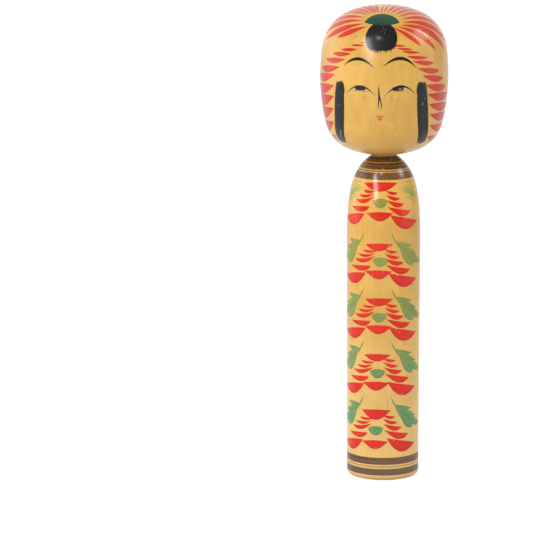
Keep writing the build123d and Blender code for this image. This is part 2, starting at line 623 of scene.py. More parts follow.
def group_node(w, maker, feeds):
    """The colour, roughness and height of a shader group placed in a material."""
    return w.node("ShaderNodeGroup", feeds, (0, 1, 2), node_tree=tree_once(maker))


def new_material(name, polish):
    """An empty material, its wiring and its shader, under wax with that polish."""
    material = bpy.data.materials.new(name)
    material.use_nodes = True
    shader = material.node_tree.nodes["Principled BSDF"]
    sockets = ("Coat Roughness", "Coat IOR", "Specular IOR Level", "Coat Weight")
    for socket, value in zip(sockets, (*polish, 1.0)):
        shader.inputs[socket].default_value = value
    return material, Wiring(name, material.node_tree), shader


def wood_nodes(w):
    """The spot that is being shaded, its height, and the bare wood's look there.

    The wood is paler low on the trunk, partly paler wood and partly painted light bounced up from
    the floor, a little deeper in the head, and darkest at the very base, as painted shade on the
    rounded foot.
    """
    paints = bpy.context.scene.kokeshi_paints
    spot = w.node("ShaderNodeTexCoord", out="Object")
    height = w.separate(spot)[2]
    # paler toward the foot: partly paler wood, partly painted light bounced up from the floor
    low = w.remap(height, PALE_FROM, PALE_TO, 0.0, 0.45)
    deep = w.remap(height, HEAD_FOOT - MM, HEAD_FOOT + MM, 1.0, 0.97)
    # painted shade on the rounded foot, darkest at the very base
    deep = deep * w.remap(height, FOOT_SHADE_FROM, FOOT_SHADE_TO, 1.0, 0.87)
    pale = (*paints.wood_pale, 1)
    tones = {"Light": paints.wood_light, "Dark": paints.wood_dark}
    tones = {name: w.mix(low, (*tone, 1), pale) * deep for name, tone in tones.items()}
    return spot, height, group_node(w, grain_group, {"Vector": spot, **tones})


def join_surface(w, shader, colour, roughness, height, bump):
    """Feeds a colour, roughness and height to the shader."""
    relief = w.node("ShaderNodeBump", {"Strength": bump, "Distance": BUMP_DEPTH, "Height": height})
    w.join(colour, shader.inputs["Base Color"])
    w.join(roughness, shader.inputs["Roughness"])
    w.join(relief, shader.inputs["Normal"])


def marked(w, spot, colour, amount, mark):
    """A colour with marks of handling on it."""
    mask = w.node(
        "ShaderNodeGroup", {"Vector": spot, "Amount": amount}, node_tree=tree_once(marks_group)
    )
    return w.mix(mask, colour, (*mark, 1))


def wood_material(name, polish, rim=None):
    """Bare waxed wood, with its very top painted where a rim paint is given, as painted shade
    under the head.
    """
    material, w, shader = new_material(name, polish)
    spot, height, (colour, roughness, relief) = wood_nodes(w)
    colour = marked(w, spot, colour, 0.25, WOOD_MARK)
    # the top of the neck, in the neck band's brown, is painted shade under the head
    if rim is not None:
        top = w.number("GREATER_THAN", height, BODY_HIGH.z - NECK_SHADE_RIM_DEPTH)
        colour = w.mix(top, colour, (*rim, 1))
    join_surface(w, shader, colour, roughness, relief, WOOD_BUMP)
    return material


def paint_material(name, pigment, low_pigment=None, polish=BODY_POLISH, **finish):
    """Paint on that wood, which shows through where the paint is worn or the brush was dry.

    A second pigment takes over from the first toward the foot of the doll.
    """
    material, w, shader = new_material(name, polish)
    spot, height, grain = wood_nodes(w)
    colour = (*pigment, 1)
    if low_pigment is not None:
        up = w.remap(height, SECOND_PAINT_BELOW, FIRST_PAINT_ABOVE, smooth=False)
        colour = w.mix(up, (*low_pigment, 1), colour)
    feeds = {"Vector": spot, "Wood": grain[0], "Pigment": colour}
    for told in ("along", "across", "tint"):
        feeds[told.title()] = w.node("ShaderNodeAttribute", out="Fac", attribute_name=told)
    feeds.update({key.replace("_", " ").capitalize(): value for key, value in finish.items()})
    colour, roughness, relief = group_node(w, brush_group, feeds)
    colour = marked(w, spot, colour, finish.get("wear", 0.3), PAINT_MARK)
    join_surface(w, shader, colour, roughness, relief, PAINT_BUMP)
    return material


def head_paint(name, pigment, **finish):
    """Paint for the head, under the head's wax."""
    return paint_material(name, pigment, polish=HEAD_POLISH, **finish)


# ---------------------------------------------------------------- outlines and strokes


def circle_arc(centre, radius, start, stop, step=1.2 * MM):
    """Points on a circle from one angle to another, as (radius, height) pairs, both ends in."""
    count = max(int(abs(stop - start) * radius / step), 4)
    turns = np.linspace(start, stop, count + 1)
    return [(centre[0] + radius * cos(t), centre[1] + radius * sin(t)) for t in turns]


def corner_centre(first, first_radius, second, second_radius, radius):
    """Centre of the circle that rounds the outer corner of two overlapping circles."""
    gap_x, gap_z = second[0] - first[0], second[1] - first[1]
    gap = hypot(gap_x, gap_z)
    reach, other = first_radius - radius, second_radius - radius
    near = (reach**2 - other**2 + gap**2) / (2 * gap)
    off = sqrt(reach**2 - near**2)
    return max(
        (first[0] + (near * gap_x + side * off * gap_z) / gap,
         first[1] + (near * gap_z - side * off * gap_x) / gap)
        for side in (1, -1)
    )


def bearing(origin, target):
    """Angle of the way from one (radius, height) point to another."""
    return atan2(target[1] - origin[1], target[0] - origin[0])


def head_outline(form, body_form):
    """The head from the tenon's end up to the crown."""
    neck_flat, tenon_end = BODY_HIGH.z, HEAD_LOW.z
    chin_height = neck_flat + form.collar_height
    crown = (0.0, HEAD_HIGH.z - form.crown_radius)
    cheek = (HEAD_ROUND - form.cheek_radius, chin_height + form.cheek_height)
    chin = (0.0, chin_height + form.chin_radius)
    temple = corner_centre(
        crown, form.crown_radius, cheek, form.cheek_radius, form.temple_radius
    )
    jaw = corner_centre(chin, form.chin_radius, cheek, form.cheek_radius, form.jaw_radius)
    collar = body_form.neck_diameter / 2 - form.collar_inset
    tenon, chamfer = form.tenon_diameter / 2, form.tenon_chamfer
    outline = [
        (0.0, tenon_end), (tenon - chamfer, tenon_end), (tenon, tenon_end + chamfer),
        (tenon, neck_flat), (collar, neck_flat),
    ]
    turns = [-acos(collar / form.chin_radius)]
    turns += [bearing(chin, jaw), bearing(cheek, jaw), bearing(cheek, temple)]
    turns += [bearing(crown, temple), pi / 2]
    circles = (
        (chin, form.chin_radius), (jaw, form.jaw_radius), (cheek, form.cheek_radius),
        (temple, form.temple_radius), (crown, form.crown_radius),
    )
    for number, (centre, radius) in enumerate(circles):
        arc = circle_arc(centre, radius, turns[number], turns[number + 1])
        outline += arc[min(number, 1):]
    outline[-1] = (0.0, HEAD_HIGH.z)
    return outline


def body_outline(form):
    """The body from under its base up over the shoulder and down into the socket."""
    base, edge, neck = form.base_diameter / 2, form.base_edge_radius, form.neck_diameter / 2
    top = BODY_HIGH.z
    chest = (TRUNK_ROUND, form.chest_height)
    lean = atan2(form.chest_height, TRUNK_ROUND - base)
    rim = circle_arc((base - edge, edge), edge, -pi / 2, lean - pi / 2, 0.4 * MM)
    start = rim[-1]
    trunk = [
        (start[0] + (chest[0] - start[0]) * share, start[1] + (chest[1] - start[1]) * share)
        for share in np.linspace(0, 1, 40)[1:-1]
    ]
    pull, slope = form.shoulder_pull, form.neck_slope
    pulls = np.array([
        chest, (chest[0], chest[1] + form.chest_pull),
        (neck + pull * cos(slope), top - pull * sin(slope)), (neck, top),
    ])
    shoulder = []
    for t in np.linspace(0, 1, 64):
        weights = ((1 - t) ** 3, 3 * t * (1 - t) ** 2, 3 * t * t * (1 - t), t**3)
        shoulder.append(tuple(float(v) for v in np.dot(weights, pulls)))
    bore, mouth = form.socket_diameter / 2, form.socket_mouth_chamfer
    tip = bore / tan(form.socket_tip_angle / 2)
    socket = [
        (bore + mouth, top), (bore, top - mouth), (bore, top - form.socket_depth),
        (0.0, top - form.socket_depth - tip),
    ]
    return [(0.0, 0.0)] + rim + trunk + shoulder + socket


def new_piece(name, data):
    """An object at the origin, in the scene."""
    piece = bpy.data.objects.new(name, data)
    bpy.context.scene.collection.objects.link(piece)
    return piece


def turned_piece(name, outline, material):
    """A wooden piece turned from its outline."""
    mesh = bpy.data.meshes.new(name)
    points = [(radius, 0.0, height) for radius, height in outline]
    mesh.from_pydata(points, [(i, i + 1) for i in range(len(points) - 1)], [])
    piece = new_piece(name, mesh)
    inset = bpy.context.scene.kokeshi_paints.inset
    run_tree(piece, turning_tree(), inset=inset, finish=material)
    return piece


LAYER_RISE = 0.004 * MM


class Strokes:
    """Brush strokes gathered for one painted piece, given in millimetres."""

    def __init__(self, seed, petals=()):
        self.rows = []
        self.random = np.random.default_rng(seed)
        for start, end, above, below, sag, taper, layer in petals:
            self.petal(start, end, above, below, sag=sag, taper=(taper, taper), layer=layer)

    def add(
        self, start, end, left, right, bow=0.0, taper=(1.0, 1.0), fray=(0.0, 0.0), layer=0,
        tint=None,
    ):
        """A stroke from start to end, swelling to its left and right and bowed to its left."""
        begin, finish = taper
        peak = begin / max(begin + finish, 1e-6)
        top = peak**begin * (1 - peak) ** finish if begin and finish else 1.0
        self.rows.append({
            "start": (start[0] * MM, start[1] * MM, 0.0),
            "reach": ((end[0] - start[0]) * MM, (end[1] - start[1]) * MM, 0.0),
            "left": left / top * MM,
            "right": right / top * MM,
            "bow": bow * MM,
            "start_taper": begin,
            "end_taper": finish,
            "start_fray": fray[0] * MM,
            "end_fray": fray[1] * MM,
            "layer": layer * LAYER_RISE,
            "tint": float(self.random.random()) if tint is None else tint,
        })

    def petal(self, start, end, above, below, sag=0.0, **touch):
        """A stroke that runs sideways, given its swell above and below, and how it sags."""
        if end[0] > start[0]:
            self.add(start, end, above, below, bow=-sag, **touch)
        else:
            self.add(start, end, below, above, bow=sag, **touch)

    def mark(self, x, y, long, lean, left, right=None, **touch):
        """A short mark drawn straight down, or leaning a little to the right."""
        self.add((x, y), (x + lean, y - long), left, left if right is None else right, **touch)

    def paint(self, name, material, steps, wood, body, slot, **settings):
        """Lays the strokes on the wood as one piece that rides on its body."""
        mesh = bpy.data.meshes.new(name)
        mesh.from_pydata([row["start"] for row in self.rows], [], [])
        for key, value in self.rows[0].items():
            kind = "FLOAT_VECTOR" if isinstance(value, tuple) else "FLOAT"
            attribute = mesh.attributes.new(key, kind, "POINT")
            values = np.array([row[key] for row in self.rows], dtype=np.float32).ravel()
            attribute.data.foreach_set("vector" if kind == "FLOAT_VECTOR" else "value", values)
        piece = new_piece(name, mesh)
        paints = bpy.context.scene.kokeshi_paints
        run_tree(
            piece, tree_once(brush_tree), wood=bpy.data.objects[wood], finish=material,
            steps_along=steps[0], steps_across=steps[1], film=paints.film, sunk=paints.sunk,
            **settings,
        )
        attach(piece, body)


def paint_on_head(strokes, name, material, steps=(20, 6), above=False):
    """Lays strokes on the head, round it or from above."""
    form = bpy.context.scene.kokeshi_head
    middle = BODY_HIGH.z + form.collar_height + form.cheek_height
    strokes.paint(
        name, material, steps, "head_turning", HEAD_BODY, HEAD_SLOT, from_above=above,
        centre_height=middle, round=HEAD_HIGH.z - middle if above else HEAD_ROUND,
    )


def paint_on_body(strokes, name, material, steps=(20, 6)):
    """Lays strokes on the body."""
    strokes.paint(
        name, material, steps, "body_turning", TRUNK_BODY, BODY_SLOT, round=TRUNK_ROUND
    )


def keyed(share, keys):
    """A value that runs through evenly spaced keys."""
    return float(np.interp(share, np.linspace(0, 1, len(keys)), keys))


# middle of the ribbon, seen from above, and how far round it the crown's petals begin
RIBBON_MIDDLE = (0.5, -27.5)
RIBBON_REACH = (12.3, 7.0)


def crown_fan(strokes, side, count, ways, edges, reaches, widths, sags):
    """Red petals that fan out and back from round the ribbon, on one side of the head."""
    for i in range(count):
        share = i / (count - 1)
        way, edge = radians(keyed(share, ways)), radians(keyed(share, edges))
        tip = (
            RIBBON_REACH[0] * cos(edge) + side * RIBBON_MIDDLE[0],
            RIBBON_REACH[1] * sin(edge) + RIBBON_MIDDLE[1],
        )
        reach, wide = keyed(share, reaches), keyed(share, widths)
        end = (tip[0] + reach * cos(way), tip[1] + reach * sin(way))
        strokes.petal(
            (side * tip[0], tip[1]), (side * end[0], end[1]), wide / 2, wide / 2,
            sag=keyed(share, sags), taper=(1.2, 0.9), layer=i % 2,
        )


def side_hair(strokes, side, count, tips, heights, spans, drops, depths):
    """Red hair strokes stacked from beside the forelock out and down to the jaw."""
    for i in range(count):
        share = i / (count - 1)
        tip = (side * keyed(share, tips), keyed(share, heights))
        end = (tip[0] + side * keyed(share, spans), tip[1] - keyed(share, drops))
        depth = keyed(share, depths)
        above = 0.4 * depth * (1 - share)
        strokes.petal(tip, end, above, depth - above, taper=(1.05, 0.9), layer=i % 2)


# ---------------------------------------------------------------- operators


class KOKESHI_OT_turn_wood(bpy.types.Operator):
    """Turn the body and the head"""

    bl_idname = "kokeshi.turn_wood"
    bl_label = "Turn the Wood"

    def execute(self, context):
        head_form, form = context.scene.kokeshi_head, context.scene.kokeshi_body
        # the neck's top takes the neck band's brown as painted shade under the head
        rim = context.scene.kokeshi_paints.band_high
        finish = wood_material("body_wood", BODY_POLISH, rim)
        body = turned_piece("body_turning", body_outline(form), finish)
        run_tree(
            body, claw_tree(), count=form.claw_count, circle=form.claw_circle_diameter / 2,
            nick=(form.claw_length, form.claw_width, 2 * form.claw_depth), finish=finish,
        )
        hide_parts(BODY_NODE)
        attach(body, TRUNK_BODY)
        finish = wood_material("head_wood", HEAD_POLISH)
        head = turned_piece("head_turning", head_outline(head_form, form), finish)
        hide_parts(HEAD_NODE)
        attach(head, HEAD_BODY)
        return {"FINISHED"}


CROWN_FANS = (
    # side and count, then from the first petal to the last: way and start in degrees, reach,
    # width and sag
    (1, 10, (-7, 29, 48, 65, 83), (-55, -22, 30, 65, 88), (23, 47, 42, 30, 21),
     (3.1, 5.2, 4.6, 3.6, 1.8), (0.8, 0.9, 0.0, 0.0, 0.0)),
    (-1, 9, (10, 38, 53, 67, 81), (-42, 8, 48, 66, 76), (24, 44, 42, 33, 20),
     (3.9, 5.0, 4.4, 3.6, 2.2), (1.7, 3.1, 2.0, 0.6, 0.0)),
)
SIDE_HAIR = (
    # side and count, then from the top stroke to the lowest: place round the head, height,
    # reach, fall and depth
    (1, 13, (7.0, 13.6, 21.0, 28.0, 32.3, 36.1, 39.3),
     (281.7, 277.7, 271.4, 262.1, 250.1, 237.0, 222.6), (9.9, 13.2, 17.6, 21, 27, 29, 27),
     (1.0, 1.3, 2.0, 3.2, 1.9, 1.0, 1.0), (1.3, 1.7, 2.9, 4.1, 5.5, 5.9, 5.2)),
    (-1, 11, (9.9, 21.7, 32.1, 33.8, 39.4), (281.4, 274.4, 262.0, 244.7, 222.4),
     (10.7, 18, 26, 33, 27), (0.5, 1.0, 3.0, 2.0, 1.0), (1.4, 3.1, 5.4, 8.2, 6.6)),
)
# ends of the thin line in the crown's parting, and of the short hair beside the ribbon
PARTING = ((-0.4, -21.0), (0.5, -5.0))
SHORT_HAIR = ((-8.0, 283.1), (-14.0, 282.7))


class KOKESHI_OT_paint_crown(bpy.types.Operator):
    """Paint the red petals over the crown and the hair strokes down the sides"""

    bl_idname = "kokeshi.paint_crown"
    bl_label = "Paint the Crown"

    def execute(self, context):
        paints = context.scene.kokeshi_paints
        red = head_paint(
            "head_red", paints.hair_red, cover=1.0, streaks=0.08, pooling=0.6, wear=0.2, load=0.4
        )
        crown, hair = Strokes(3), Strokes(4)
        for fan in CROWN_FANS:
            crown_fan(crown, *fan)
        crown.add(*PARTING, 0.6, 0.6, bow=0.5, taper=(0.8, 0.8))
        paint_on_head(crown, "crown_petals", red, (28, 6), above=True)
        for stack in SIDE_HAIR:
            side_hair(hair, *stack)
        hair.petal(*SHORT_HAIR, 0.2, 0.45)
        paint_on_head(hair, "side_hair", red, (40, 14))
        return {"FINISHED"}


# seen from above: ends of the ribbon with its swell behind and in front, and the forelock's
# middle, ends and half widths
RIBBON = ((-11.0, -28.3), (11.6, -28.3), 6.7, 4.3)
FORELOCK_MIDDLE = 0.4
FORELOCK_ENDS = (-30.0, -49.0)
FORELOCK_HALVES = (11.5, 11.1)
# the fringe: hairs, half width, how the edge curves up, hair's root above it and tips below
FRINGE_HAIRS = 25
FRINGE_HALF = 10.4
FRINGE_CURVE = 0.0028
FRINGE_ROOT = 2.5
FRINGE_TIPS = (0.5, 1.3)
SIDE_LOCKS = (
    # start, end, half width, bow, tapers and frays of the lock and of the short hairs at its top
    ((27.8, 257.6), (35.6, 218.2), 4.65, 1.7, (0.17, 0.05), (0.5, 1.6)),
    ((26.4, 258.4), (26.9, 250.0), 2.9, 0.0, (0.4, 0.15), (0.4, 0.0)),
)


class KOKESHI_OT_paint_hair(bpy.types.Operator):
    """Paint the green ribbon, the forelock and the two side locks"""

    bl_idname = "kokeshi.paint_hair"
    bl_label = "Paint the Hair"

    def execute(self, context):
        paints = context.scene.kokeshi_paints
        ink = head_paint(
            "hair_ink", paints.ink, cover=1.0, streaks=0.0, pooling=0.1, dry_end=0.02, wear=0.1
        )
        forelock, fringe, locks, ribbon = (Strokes(seed) for seed in (5, 9, 6, 7))
        ends = ((FORELOCK_MIDDLE, y) for y in FORELOCK_ENDS)
        forelock.add(*ends, *FORELOCK_HALVES, taper=(0.5, 0.34), layer=2)
        paint_on_head(forelock, "forelock", ink, (44, 44), above=True)
        for i in range(FRINGE_HAIRS):
            share = (i + fringe.random.random() * 0.6) / (FRINGE_HAIRS - 1)
            out = -FRINGE_HALF + 2 * FRINGE_HALF * share
            edge = FORELOCK_ENDS[1] + FRINGE_CURVE * abs(out) ** 3
            tip = edge - FRINGE_TIPS[0] - FRINGE_TIPS[1] * fringe.random.random()
            ends = ((FORELOCK_MIDDLE + out, y) for y in (edge + FRINGE_ROOT, tip))
            fringe.add(*ends, 0.42, 0.42, taper=(0.3, 0.7), layer=3)
        paint_on_head(fringe, "forelock_fringe", ink, (12, 4), above=True)
        for side in (1, -1):
            for *ends, half, bow, taper, fray in SIDE_LOCKS:
                ends = ((side * x, z) for x, z in ends)
                locks.add(*ends, half, half, bow=-side * bow, taper=taper, fray=fray, layer=2)
        paint_on_head(locks, "side_locks", ink, (40, 36))
        green = head_paint("ribbon_green", paints.ribbon, cover=1.0, streaks=0.03, wear=0.1)
        ribbon.petal(*RIBBON, taper=(0.85, 0.85), layer=3)
        paint_on_head(ribbon, "ribbon", green, (36, 20), above=True)
        return {"FINISHED"}


# rows of the face: start, end, swell above and below, sag, taper at both ends, layer
BROWS = (
    ((-25.0, 267.6), (-3.4, 267.0), 1.0, 1.0, -5.5, 1.0, 0),
    ((1.4, 267.7), (24.2, 266.3), 1.0, 1.1, -6.4, 1.0, 0),
)
EYE_LINES = (
    ((-22.5, 250.9), (-2.6, 249.7), 0.64, 0.54, -5.6, 0.8, 1),
    ((2.7, 249.6), (23.6, 250.0), 0.66, 0.56, -6.3, 0.8, 1),
    ((-15.9, 254.3), (-9.0, 254.3), 1.3, 1.0, 0.0, 0.12, 2),
    ((7.9, 254.4), (15.0, 254.4), 1.3, 1.0, 0.0, 0.12, 2),
    ((-18.9, 253.2), (-6.4, 253.0), 0.14, 0.14, 0.2, 0.5, 2),
    ((6.0, 253.4), (17.7, 253.3), 0.14, 0.14, 0.2, 0.5, 2),
)
EYE_WHITES = (
    ((-18.9, 253.2), (-6.4, 253.0), 2.0, 0.05, 0.0, 1.0, 0),
    ((6.0, 253.4), (17.7, 253.3), 2.0, 0.05, 0.0, 1.0, 0),
)
LIPS = (
    ((-2.5, 237.3), (2.8, 237.3), 0.4, 0.5, 0.25, 0.5, 0),
    ((-1.3, 236.0), (1.5, 236.0), 0.1, 1.5, 0.0, 0.6, 1),
)
# rows of the nose: start, end, half width, bow, tapers, layer
NOSE = (
    ((-0.85, 256.8), (-0.35, 247.0), 0.52, 0.0, (0.9, 0.5), 1),
    ((-0.55, 250.6), (-1.05, 241.7), 0.36, 0.0, (0.5, 0.7), 2),
    ((-0.3, 250.6), (1.3, 241.3), 0.36, 0.2, (0.5, 0.7), 2),
)


class KOKESHI_OT_paint_face(bpy.types.Operator):
    """Paint the brows, eyes, nose and mouth"""

    bl_idname = "kokeshi.paint_face"
    bl_label = "Paint the Face"

    def execute(self, context):
        paints = context.scene.kokeshi_paints
        ink = head_paint("face_ink", paints.ink, cover=1.0, streaks=0.0, pooling=0.1, wear=0.1)
        paint_on_head(Strokes(8, BROWS), "brows", ink, (36, 6))
        paint_on_head(Strokes(9, EYE_LINES), "eye_lines", ink, (36, 6))
        nose = Strokes(10)
        for start, end, half, bow, taper, layer in NOSE:
            nose.add(start, end, half, half, bow=bow, taper=taper, layer=layer)
        paint_on_head(nose, "nose_lines", ink, (24, 6))
        white = head_paint("eye_white", srgb(206, 198, 156), cover=0.75, streaks=0.1, wear=0.2)
        paint_on_head(Strokes(11, EYE_WHITES), "eye_whites", white)
        lip = head_paint("lip_red", paints.lip, streaks=0.1, wear=0.1)
        paint_on_head(Strokes(12, LIPS), "lips", lip)
        return {"FINISHED"}


class Tier:
    """One flower's place and the hand's small differences, in millimetres.

    The cap is the petal at the top, given by its left and right end and its depth. Right, left,
    middle and heart each say how far that part hangs below the usual and how far out it is.
    Rise is how much higher the leaves begin.
    """

    def __init__(self, top, cap, right=(0, 0), left=(0, 0), middle=(0, 0), heart=(0, 0), rise=0):
        self.top, self.cap, self.rise = top, cap, rise
        self.right, self.left, self.middle, self.heart = right, left, middle, heart

    def at(self, part, *spots):
        """Places on the flower, shifted as their part is."""
        fall, out = part
        return [(spot[0] + out, self.top + spot[1] - fall) for spot in spots]


TIERS = (
    Tier(192.8, (-14.6, 12.8, 5.8), (1.3, 0.9), (0.7, -1.3), (1.3, 0.6), (1.1, -0.2)),
    Tier(154.4, (-10.8, 7.9, 5.0)),
    Tier(119.2, (-10.8, 8.2, 5.3), (-0.4, 0.3), (0.4, 0.0), (0.2, 0.0), (0.6, -0.5), rise=-0.3),
    Tier(83.1, (-11.4, 6.8, 4.8), (-1.2, -0.6), (0.4, -1.0), (0.8, -1.4), (0.8, -1.5), rise=1.7),
    Tier(47.0, (-12.8, 7.0, 6.9), (-0.4, -0.7), (1.1, -2.0), (3.0, -2.0), (2.0, -2.5), rise=1.8),
)
# petals: inner end, outer end, swell above and below, sag and taper, measured from the middle
# of the flower's top; the last of each side is the large one below
RIGHT_PETALS = (
    ((1.7, -3.6), (10.6, -5.2), 0.15, 1.9, 0.2, (1.15, 0.8)),
    ((2.0, -6.2), (12.1, -8.9), 0.15, 2.2, 0.2, (1.15, 0.8)),
    ((2.4, -9.6), (15.0, -12.3), 0.15, 3.0, 0.3, (1.25, 0.8)),
    ((2.8, -13.7), (20.6, -17.3), 0.15, 4.2, 0.2, (1.3, 0.85)),
    ((4.8, -19.1), (27.4, -24.2), 0.2, 7.1, 0.0, (1.05, 1.1)),
)
LEFT_PETALS = (
    ((-2.4, -4.9), (-12.3, -4.5), 0.15, 1.7, 0.0, (1.1, 0.8)),
    ((-3.6, -6.3), (-15.9, -7.4), 0.15, 1.8, 0.6, (1.1, 0.8)),
    ((-3.3, -7.9), (-19.0, -10.7), 0.15, 2.6, 0.9, (1.2, 0.9)),
    ((-6.7, -14.4), (-22.8, -15.6), 0.15, 3.4, 0.0, (0.65, 1.05)),
    ((-9.9, -19.2), (-33.0, -23.4), 0.8, 6.2, 0.0, (1.1, 1.45)),
)
# how far the cap's two ends hang below the flower's top, and how much the cap swells upward
CAP_DROPS = (0.9, 0.5)
CAP_RISE = 0.7
# ends of the petal in the middle below, and of the heart
MIDDLE_PETAL = ((-11.0, -18.2), (7.6, -18.0))
HEART = ((-5.5, -10.6), (4.4, -10.5))


def paint_flower(petals, hearts, tier):
    """A flower seen from the side: a cap, side petals in pairs, three below and a heart."""
    left, right, depth = tier.cap
    ends = (left, tier.top - CAP_DROPS[0]), (right, tier.top - CAP_DROPS[1])
    petals.petal(*ends, CAP_RISE, depth - CAP_RISE, taper=(1.2, 1.25), layer=1)
    sides = (RIGHT_PETALS, tier.right), (LEFT_PETALS, tier.left)
    for which in (slice(0, -1), slice(-1, None)):
        for rows, part in sides:
            for inner, outer, above, below, sag, taper in rows[which]:
                petals.petal(*tier.at(part, inner, outer), above, below, sag=sag, taper=taper)
    low = tier.at(tier.middle, *MIDDLE_PETAL)
    petals.petal(*low, 0.9, 5.0, taper=(1.5, 1.45), layer=1)
    hearts.petal(*tier.at(tier.heart, *HEART), 1.6, 4.5, taper=(0.7, 0.7))


LEAF_STEM = (9.6, 1.0)
LEAF_DABS = (
    # tip, swell above and below, and taper of the dabs that fan out from the stem
    ((23.8, -14.8), 2.6, 3.9, (1.9, 0.75)),
    ((33.4, -13.5), 0.2, 4.6, (1.4, 0.6)),
    ((27.0, -7.8), 0.6, 2.4, (1.0, 0.8)),
    ((22.4, -2.3), 0.6, 2.4, (0.7, 0.9)),
)
# side, shift along x, lift of each further dab, and share of the reach
LEAVES = ((1, 0.0, 0.0, 1.0), (-1, -4.8, 0.9, 0.92))
# ends of the stalk, outward and up from the stem
STALK = ((-2.9, 5.4), (2.6, -4.4))
# side of each loose leaf, and how far out it begins
LOOSE_LEAVES = ((1, 13.6), (-1, 15.0))
# the dab's start from there and its reach, then the same for each thin touch, outward and up
LOOSE_DAB = ((0.2, -3.6), (16.5, -7.6))
LOOSE_TOUCHES = (
    ((-1.0, -1.4), (17, -0.8)), ((1.0, -2.9), (17, -3.2)), ((2.6, -9.2), (13, -6.8)),
)
# thin lines by the lowest flower: start, end, half width and layer
LINES = (((5.0, 55.2), (4.4, 47.6), 0.12, 3), ((9.4, 48.6), (17.4, 36.0), 0.45, 4))


def paint_leaves(leaves, tier):
    """A leaf on either side of the flower: dabs that fan out from the stem, one to a lobe."""
    for side, shift, lift, share in LEAVES:
        stem = (side * LEAF_STEM[0] + shift, tier.top + tier.rise + LEAF_STEM[1])
        for layer, (tip, above, below, taper) in enumerate(LEAF_DABS):
            out = share * (tip[0] - LEAF_STEM[0])
            fall = tip[1] - LEAF_STEM[1] + lift * (1 + layer)
            end = (stem[0] + side * out, stem[1] + fall)
            leaves.petal(stem, end, above, below, taper=taper, layer=layer % 3)
        stalk = ((stem[0] + side * out, stem[1] + up) for out, up in STALK)
        leaves.petal(*stalk, 0.15, 0.75, taper=(0.8, 1.0), layer=3, tint=1.0)


def paint_loose_leaves(dabs, touches, tier):
    """The top tier's softer leaves: a broad dab among thin arching touches, on either side."""
    for side, start in LOOSE_LEAVES:
        for number, (place, reach) in enumerate((LOOSE_DAB, *LOOSE_TOUCHES)):
            begin = (side * (start + place[0]), tier.top + place[1])
            end = (begin[0] + side * reach[0], begin[1] + reach[1])
            if number == 0:
                dabs.petal(begin, end, 3.5, 3.3, sag=-0.8, taper=(0.75, 0.7))
            else:
                touches.petal(begin, end, 1.0, 1.1, sag=-1.3, taper=(0.9, 0.8), layer=1)


class KOKESHI_OT_paint_flowers(bpy.types.Operator):
    """Paint the five tiers of chrysanthemums down the front of the body"""

    bl_idname = "kokeshi.paint_flowers"
    bl_label = "Paint the Flowers"

    def execute(self, context):
        paints = context.scene.kokeshi_paints
        petals, hearts, leaves, dabs, touches = (Strokes(seed) for seed in (13, 14, 15, 16, 18))
        for tier in TIERS:
            paint_flower(petals, hearts, tier)
        for tier in TIERS[1:]:
            paint_leaves(leaves, tier)
        for start, end, half, layer in LINES:
            leaves.add(start, end, half, half, layer=layer, tint=1.0)
        paint_loose_leaves(dabs, touches, TIERS[0])
        red = paint_material(
            "body_red", paints.red, cover=1.0, streaks=0.05, pooling=0.6, wear=0.2, load=0.4
        )
        paint_on_body(petals, "flower_petals", red, (26, 8))
        green = paint_material(
            "leaf_green", paints.leaf_high, paints.leaf_low, cover=0.98, streaks=0.25,
            pooling=0.45, wear=0.15, load=0.5,
        )
        paint_on_body(hearts, "flower_hearts", green)
        paint_on_body(leaves, "flower_leaves", green, (36, 12))
        pale = paint_material(
            "pale_leaf_green", paints.leaf_pale, cover=1.0, streaks=0.3, pooling=0.1,
            soft_edge=0.6,
        )
        paint_on_body(dabs, "loose_leaves", pale, (30, 12))
        thin = paint_material(
            "thin_leaf_green", paints.leaf_high, cover=0.8, streaks=0.4, soft_edge=0.35
        )
        paint_on_body(touches, "leaf_touches", thin, (30, 6))
        return {"FINISHED"}


BANDS = (
    # upper and lower height of each turned ring of paint, and how heavily it is laid on; the ring
    # right under the head is laid on heaviest, which darkens it as painted shade
    (206.85, 204.15, 1.0), (203.85, 200.0, 0.6), (199.5, 198.85, 0.6), (198.35, 194.1, 0.0),
    (15.3, 10.7, 1.0), (7.9, 3.7, 0.0),
)
THIN_BAND = (9.95, 8.8, 0.2)
# how far short of the collar's top its ring of paint stops, and how far above the neck it starts;
# that ring is painted shade under the head
COLLAR_GAPS = (0.02, 0.12)


def ring(strokes, radius, high, low, load):
    """A ring of paint all the way round a form of that radius, in metres."""
    middle, half, half_round = (high + low) / 2, (high - low) / 2, pi * radius / MM
    strokes.add(
        (-half_round, middle), (half_round, middle), half, half, taper=(0.0, 0.0), tint=load
    )


class KOKESHI_OT_paint_bands(bpy.types.Operator):
    """Paint the rings at the neck and the base, as the lathe turns, and a ring of painted shade
    round the head's collar
    """

    bl_idname = "kokeshi.paint_bands"
    bl_label = "Paint the Bands"

    def execute(self, context):
        paints = context.scene.kokeshi_paints
        rings, line, collar = (Strokes(seed) for seed in (17, 19, 20))
        for band in BANDS:
            ring(rings, TRUNK_ROUND, *band)
        brown = paint_material(
            "band_brown", paints.band_high, paints.band_low, cover=1.02, streaks=0.24,
            pooling=0.2, wear=0.3, load=1.0,
        )
        paint_on_body(rings, "bands", brown, (240, 6))
        ring(line, TRUNK_ROUND, *THIN_BAND)
        thin = paint_material(
            "thin_band_brown", paints.band_high, cover=0.6, streaks=0.4, wear=0.5
        )
        paint_on_body(line, "thin_band", thin, (240, 6))
        # a dark ring round the head's collar, painted shade under the head
        neck_top = BODY_HIGH.z / MM
        collar_top = (BODY_HIGH.z + context.scene.kokeshi_head.collar_height) / MM
        high, low = collar_top - COLLAR_GAPS[0], neck_top + COLLAR_GAPS[1]
        ring(collar, HEAD_ROUND, high, low, 1.0)
        paint_on_head(collar, "collar_band", brown, (120, 6))
        return {"FINISHED"}


